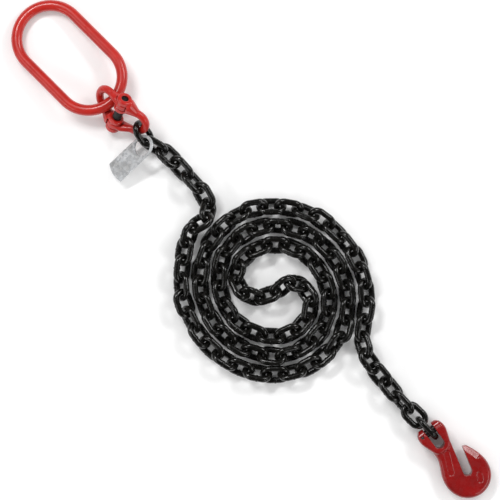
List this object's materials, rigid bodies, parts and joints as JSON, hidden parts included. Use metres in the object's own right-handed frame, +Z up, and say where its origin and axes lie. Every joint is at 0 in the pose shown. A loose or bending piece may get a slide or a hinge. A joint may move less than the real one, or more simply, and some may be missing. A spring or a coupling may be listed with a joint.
{
  "type": "single-leg chain sling",
  "caption": "Single-leg chain sling: oblong master link, two-part coupling link, short-link chain laid in a flat coil and a clevis grab hook.",
  "frame": {"origin": "middle of the sling's underside on the floor", "axes": "+Z up from the floor the sling lies on; the leg runs from the master link at -X +Y to the hook at +X -Y"},
  "size_m": [0.5474, 0.5684, 0.0543],
  "materials": {
    "master_paint": "bright orange-red enamel, glossy",
    "coupling_paint": "red enamel over a forged surface",
    "hook_paint": "deeper red enamel over a forged surface",
    "chain_black": "black lacquer, glossy, slightly rough at the welds",
    "pin_black": "black oxide steel, satin",
    "tag_zinc": "spangled zinc plate",
    "roll_pin_steel": "plain spring steel"
  },
  "bodies": {
    "coil_core": {"chain_coil_core_1": "chain_black", "chain_coil_core_2": "chain_black", "chain_coil_core_3": "chain_black", "chain_coil_core_4": "chain_black", "chain_coil_core_5": "chain_black", "chain_coil_core_6": "chain_black"},
    "chain_link_23": {"chain_link_23": "chain_black"},
    "chain_link_22": {"chain_link_22": "chain_black"},
    "chain_link_21": {"chain_link_21": "chain_black"},
    "chain_link_20": {"chain_link_20": "chain_black"},
    "chain_link_19": {"chain_link_19": "chain_black"},
    "chain_link_18": {"chain_link_18": "chain_black"},
    "chain_link_17": {"chain_link_17": "chain_black"},
    "chain_link_16": {"chain_link_16": "chain_black"},
    "chain_link_15": {"chain_link_15": "chain_black"},
    "chain_link_14": {"chain_link_14": "chain_black"},
    "chain_link_13": {"chain_link_13": "chain_black"},
    "chain_link_12": {"chain_link_12": "chain_black"},
    "chain_link_11": {"chain_link_11": "chain_black"},
    "chain_link_10": {"chain_link_10": "chain_black"},
    "chain_link_09": {"chain_link_09": "chain_black"},
    "chain_link_08": {"chain_link_08": "chain_black"},
    "chain_link_07": {"chain_link_07": "chain_black"},
    "chain_link_06": {"chain_link_06": "chain_black"},
    "chain_link_05": {"chain_link_05": "chain_black"},
    "chain_link_04": {"chain_link_04": "chain_black"},
    "chain_link_03": {"chain_link_03": "chain_black"},
    "chain_link_02": {"chain_link_02": "chain_black"},
    "chain_link_01": {"chain_link_01": "chain_black"},
    "chain_link_76": {"chain_link_76": "chain_black"},
    "chain_link_77": {"chain_link_77": "chain_black"},
    "chain_link_78": {"chain_link_78": "chain_black"},
    "chain_link_79": {"chain_link_79": "chain_black"},
    "chain_link_80": {"chain_link_80": "chain_black"},
    "chain_link_81": {"chain_link_81": "chain_black"},
    "chain_link_82": {"chain_link_82": "chain_black"},
    "chain_link_83": {"chain_link_83": "chain_black"},
    "chain_link_84": {"chain_link_84": "chain_black"},
    "chain_link_85": {"chain_link_85": "chain_black"},
    "chain_link_86": {"chain_link_86": "chain_black"},
    "chain_link_87": {"chain_link_87": "chain_black"},
    "chain_link_88": {"chain_link_88": "chain_black"},
    "chain_link_89": {"chain_link_89": "chain_black"},
    "chain_link_90": {"chain_link_90": "chain_black"},
    "chain_link_91": {"chain_link_91": "chain_black"},
    "chain_link_92": {"chain_link_92": "chain_black"},
    "chain_link_93": {"chain_link_93": "chain_black"},
    "chain_link_94": {"chain_link_94": "chain_black"},
    "chain_link_95": {"chain_link_95": "chain_black"},
    "chain_link_96": {"chain_link_96": "chain_black"},
    "coupling_lower": {"coupling_lower_half": "coupling_paint"},
    "coupling_pin": {"coupling_load_pin": "pin_black", "coupling_bush": "pin_black"},
    "coupling_upper": {"coupling_upper_half": "coupling_paint"},
    "master": {"master_link": "master_paint"},
    "tag": {"id_tag": "tag_zinc"},
    "hook": {"hook_body": "hook_paint", "clevis_pin": "pin_black", "retaining_pin": "roll_pin_steel"}
  },
  "joints": [
    {"name": "chain_link_23_hinge", "type": "hinge", "parent": "coil_core", "child": "chain_link_23", "pos_m": [0.08859, -0.11916, 0.00927], "axis": [-0.4187, 0.5194, 0.7449], "range_deg": [0, 10]},
    {"name": "chain_link_22_hinge", "type": "hinge", "parent": "chain_link_23", "child": "chain_link_22", "pos_m": [0.07156, -0.13123, 0.01233], "axis": [0.2758, -0.5537, 0.7857], "range_deg": [0, 10]},
    {"name": "chain_link_21_hinge", "type": "hinge", "parent": "chain_link_22", "child": "chain_link_21", "pos_m": [0.05336, -0.14022, 0.01058], "axis": [-0.1809, 0.7973, 0.5759], "range_deg": [0, 10]},
    {"name": "chain_link_20_hinge", "type": "hinge", "parent": "chain_link_21", "child": "chain_link_20", "pos_m": [0.03326, -0.14378, 0.01239], "axis": [-0.02, -0.6413, 0.7671], "range_deg": [0, 10]},
    {"name": "chain_link_19_hinge", "type": "hinge", "parent": "chain_link_20", "child": "chain_link_19", "pos_m": [0.01299, -0.14355, 0.01001], "axis": [0.1614, 0.6914, 0.7042], "range_deg": [0, 10]},
    {"name": "chain_link_18_hinge", "type": "hinge", "parent": "chain_link_19", "child": "chain_link_18", "pos_m": [-0.00677, -0.13871, 0.01226], "axis": [-0.2848, -0.6348, 0.7183], "range_deg": [0, 10]},
    {"name": "chain_link_17_hinge", "type": "hinge", "parent": "chain_link_18", "child": "chain_link_17", "pos_m": [-0.02525, -0.13029, 0.01022], "axis": [0.4455, 0.6295, 0.6367], "range_deg": [0, 10]},
    {"name": "chain_link_16_hinge", "type": "hinge", "parent": "chain_link_17", "child": "chain_link_16", "pos_m": [-0.04155, -0.11811, 0.01214], "axis": [-0.451, -0.4426, 0.7751], "range_deg": [0, 10]},
    {"name": "chain_link_15_hinge", "type": "hinge", "parent": "chain_link_16", "child": "chain_link_15", "pos_m": [-0.05581, -0.10371, 0.01042], "axis": [0.5777, 0.3803, 0.7223], "range_deg": [0, 10]},
    {"name": "chain_link_14_hinge", "type": "hinge", "parent": "chain_link_15", "child": "chain_link_14", "pos_m": [-0.0672, -0.08696, 0.0127], "axis": [-0.7445, -0.3573, 0.5639], "range_deg": [0, 10]},
    {"name": "chain_link_13_hinge", "type": "hinge", "parent": "chain_link_14", "child": "chain_link_13", "pos_m": [-0.07499, -0.06813, 0.01166], "axis": [0.5268, 0.0876, 0.8455], "range_deg": [0, 10]},
    {"name": "chain_link_12_hinge", "type": "hinge", "parent": "chain_link_13", "child": "chain_link_12", "pos_m": [-0.0808, -0.04889, 0.01474], "axis": [-0.788, 0.017, 0.6154], "range_deg": [0, 10]},
    {"name": "chain_link_11_hinge", "type": "hinge", "parent": "chain_link_12", "child": "chain_link_11", "pos_m": [-0.08101, -0.02872, 0.00977], "axis": [0.7377, -0.0895, 0.6692], "range_deg": [0, 10]},
    {"name": "chain_link_10_hinge", "type": "hinge", "parent": "chain_link_11", "child": "chain_link_10", "pos_m": [-0.07715, -0.00852, 0.0115], "axis": [-0.622, 0.0593, 0.7808], "range_deg": [0, 10]},
    {"name": "chain_link_09_hinge", "type": "hinge", "parent": "chain_link_10", "child": "chain_link_09", "pos_m": [-0.07383, 0.01137, 0.01264], "axis": [0.6405, -0.4825, 0.5974], "range_deg": [0, 10]},
    {"name": "chain_link_08_hinge", "type": "hinge", "parent": "chain_link_09", "child": "chain_link_08", "pos_m": [-0.06712, 0.02795, 0.02319], "axis": [-0.4991, 0.534, 0.6825], "range_deg": [-2, 36]},
    {"name": "chain_link_07_hinge", "type": "hinge", "parent": "chain_link_08", "child": "chain_link_07", "pos_m": [-0.04627, 0.03637, 0.02441], "axis": [-0.8085, -0.1894, -0.5572], "range_deg": [-30, 0]},
    {"name": "chain_link_06_hinge", "type": "hinge", "parent": "chain_link_07", "child": "chain_link_06", "pos_m": [-0.04656, 0.05433, 0.00602], "axis": [0.4968, 0.3399, -0.7985], "range_deg": [-15, 22]},
    {"name": "chain_link_05_hinge", "type": "hinge", "parent": "chain_link_06", "child": "chain_link_05", "pos_m": [-0.06058, 0.073, 0.01334], "axis": [0.5837, 0.569, 0.5793], "range_deg": [-38, 38]},
    {"name": "chain_link_04_hinge", "type": "hinge", "parent": "chain_link_05", "child": "chain_link_04", "pos_m": [-0.07557, 0.08693, 0.01123], "axis": [-0.4977, -0.4606, 0.735], "range_deg": [-38, 38]},
    {"name": "chain_link_03_hinge", "type": "hinge", "parent": "chain_link_04", "child": "chain_link_03", "pos_m": [-0.08923, 0.10181, 0.01167], "axis": [-0.4092, -0.4379, -0.8005], "range_deg": [-38, 38]},
    {"name": "chain_link_02_hinge", "type": "hinge", "parent": "chain_link_03", "child": "chain_link_02", "pos_m": [-0.10398, 0.11563, 0.01104], "axis": [0.4056, 0.7411, -0.5349], "range_deg": [-38, 38]},
    {"name": "chain_link_01_hinge", "type": "hinge", "parent": "chain_link_02", "child": "chain_link_01", "pos_m": [-0.12228, 0.12463, 0.01294], "axis": [0.7814, 0.1582, 0.6037], "range_deg": [-18, 32]},
    {"name": "chain_link_76_hinge", "type": "hinge", "parent": "coil_core", "child": "chain_link_76", "pos_m": [-0.03551, 0.02234, 0.01204], "axis": [0.475, -0.4771, 0.7394], "range_deg": [0, 10]},
    {"name": "chain_link_77_hinge", "type": "hinge", "parent": "chain_link_76", "child": "chain_link_77", "pos_m": [-0.02043, 0.03574, 0.011], "axis": [-0.4682, 0.6527, 0.5957], "range_deg": [0, 10]},
    {"name": "chain_link_78_hinge", "type": "hinge", "parent": "chain_link_77", "child": "chain_link_78", "pos_m": [-0.00293, 0.04507, 0.01453], "axis": [0.2358, -0.6195, 0.7487], "range_deg": [0, 10]},
    {"name": "chain_link_79_hinge", "type": "hinge", "parent": "chain_link_78", "child": "chain_link_79", "pos_m": [0.0167, 0.04834, 0.01105], "axis": [-0.0013, 0.7099, 0.7043], "range_deg": [0, 10]},
    {"name": "chain_link_80_hinge", "type": "hinge", "parent": "chain_link_79", "child": "chain_link_80", "pos_m": [0.03685, 0.04784, 0.01159], "axis": [-0.1017, -0.6814, 0.7248], "range_deg": [0, 10]},
    {"name": "chain_link_81_hinge", "type": "hinge", "parent": "chain_link_80", "child": "chain_link_81", "pos_m": [0.05672, 0.04427, 0.01103], "axis": [0.1997, 0.7728, 0.6024], "range_deg": [0, 10]},
    {"name": "chain_link_82_hinge", "type": "hinge", "parent": "chain_link_81", "child": "chain_link_82", "pos_m": [0.07523, 0.03697, 0.01426], "axis": [-0.2608, -0.5366, 0.8025], "range_deg": [0, 10]},
    {"name": "chain_link_83_hinge", "type": "hinge", "parent": "chain_link_82", "child": "chain_link_83", "pos_m": [0.09117, 0.02491, 0.01137], "axis": [0.5146, 0.533, 0.6717], "range_deg": [0, 10]},
    {"name": "chain_link_84_hinge", "type": "hinge", "parent": "chain_link_83", "child": "chain_link_84", "pos_m": [0.10532, 0.01053, 0.01194], "axis": [-0.6304, -0.4846, 0.6064], "range_deg": [0, 10]},
    {"name": "chain_link_85_hinge", "type": "hinge", "parent": "chain_link_84", "child": "chain_link_85", "pos_m": [0.1171, -0.00583, 0.01112], "axis": [0.4635, 0.2595, 0.8472], "range_deg": [0, 10]},
    {"name": "chain_link_86_hinge", "type": "hinge", "parent": "chain_link_85", "child": "chain_link_86", "pos_m": [0.1253, -0.02423, 0.01227], "axis": [-0.7647, -0.2602, 0.5895], "range_deg": [0, 10]},
    {"name": "chain_link_87_hinge", "type": "hinge", "parent": "chain_link_86", "child": "chain_link_87", "pos_m": [0.1307, -0.04363, 0.01071], "axis": [0.6984, 0.0723, 0.712], "range_deg": [0, 10]},
    {"name": "chain_link_88_hinge", "type": "hinge", "parent": "chain_link_87", "child": "chain_link_88", "pos_m": [0.13165, -0.06373, 0.01182], "axis": [-0.6578, 0.069, 0.75], "range_deg": [0, 10]},
    {"name": "chain_link_89_hinge", "type": "hinge", "parent": "chain_link_88", "child": "chain_link_89", "pos_m": [0.12873, -0.0837, 0.0111], "axis": [0.7129, -0.1078, 0.6929], "range_deg": [-4, 38]},
    {"name": "chain_link_90_hinge", "type": "hinge", "parent": "chain_link_89", "child": "chain_link_90", "pos_m": [0.12631, -0.10374, 0.01047], "axis": [0.7583, 0.0153, -0.6517], "range_deg": [-38, 38]},
    {"name": "chain_link_91_hinge", "type": "hinge", "parent": "chain_link_90", "child": "chain_link_91", "pos_m": [0.13112, -0.12262, 0.01562], "axis": [-0.6607, -0.3162, -0.6808], "range_deg": [-38, 38]},
    {"name": "chain_link_92_hinge", "type": "hinge", "parent": "chain_link_91", "child": "chain_link_92", "pos_m": [0.14251, -0.13889, 0.01213], "axis": [-0.4531, -0.3906, 0.8014], "range_deg": [-38, 38]},
    {"name": "chain_link_93_hinge", "type": "hinge", "parent": "chain_link_92", "child": "chain_link_93", "pos_m": [0.15531, -0.15451, 0.01176], "axis": [0.4933, 0.4177, 0.763], "range_deg": [-38, 38]},
    {"name": "chain_link_94_hinge", "type": "hinge", "parent": "chain_link_93", "child": "chain_link_94", "pos_m": [0.16801, -0.17021, 0.01214], "axis": [0.6786, 0.5733, -0.4592], "range_deg": [-38, 38]},
    {"name": "chain_link_95_hinge", "type": "hinge", "parent": "chain_link_94", "child": "chain_link_95", "pos_m": [0.18152, -0.18516, 0.01345], "axis": [-0.1802, -0.1716, -0.9685], "range_deg": [-38, 38]},
    {"name": "chain_link_96_hinge", "type": "hinge", "parent": "chain_link_95", "child": "chain_link_96", "pos_m": [0.1958, -0.19944, 0.01333], "axis": [-0.7165, -0.6972, 0.0246], "range_deg": [-38, 38]},
    {"name": "coupling_lower_hinge", "type": "hinge", "parent": "chain_link_01", "child": "coupling_lower", "pos_m": [-0.12982, 0.14086, 0.02579], "axis": [-0.3596, -0.6764, 0.6428], "range_deg": [-38, 33]},
    {"name": "load_pin_spin", "type": "hinge", "parent": "coupling_lower", "child": "coupling_pin", "pos_m": [-0.15023, 0.15414, 0.02834], "axis": [0.3018, 0.5675, 0.766], "continuous": true},
    {"name": "coupling_fold", "type": "hinge", "parent": "coupling_lower", "child": "coupling_upper", "pos_m": [-0.15023, 0.15414, 0.02834], "axis": [0.3018, 0.5675, 0.766], "range_deg": [-40, 85]},
    {"name": "master_link_swing", "type": "hinge", "parent": "coupling_upper", "child": "master", "pos_m": [-0.16066, 0.1661, 0.0233], "axis": [0.773, 0.6342, -0.0152], "range_deg": [-4, 33]},
    {"name": "tag_swing", "type": "hinge", "parent": "chain_link_01", "child": "tag", "pos_m": [-0.12327, 0.12128, 0.02246], "axis": [0.51, -0.7194, -0.4716], "range_deg": [-4, 33]},
    {"name": "hook_swing", "type": "hinge", "parent": "chain_link_96", "child": "hook", "pos_m": [0.20389, -0.20775, 0.01305], "axis": [0.7986, 0.6018, 0], "range_deg": [-70, 78]}
  ]
}
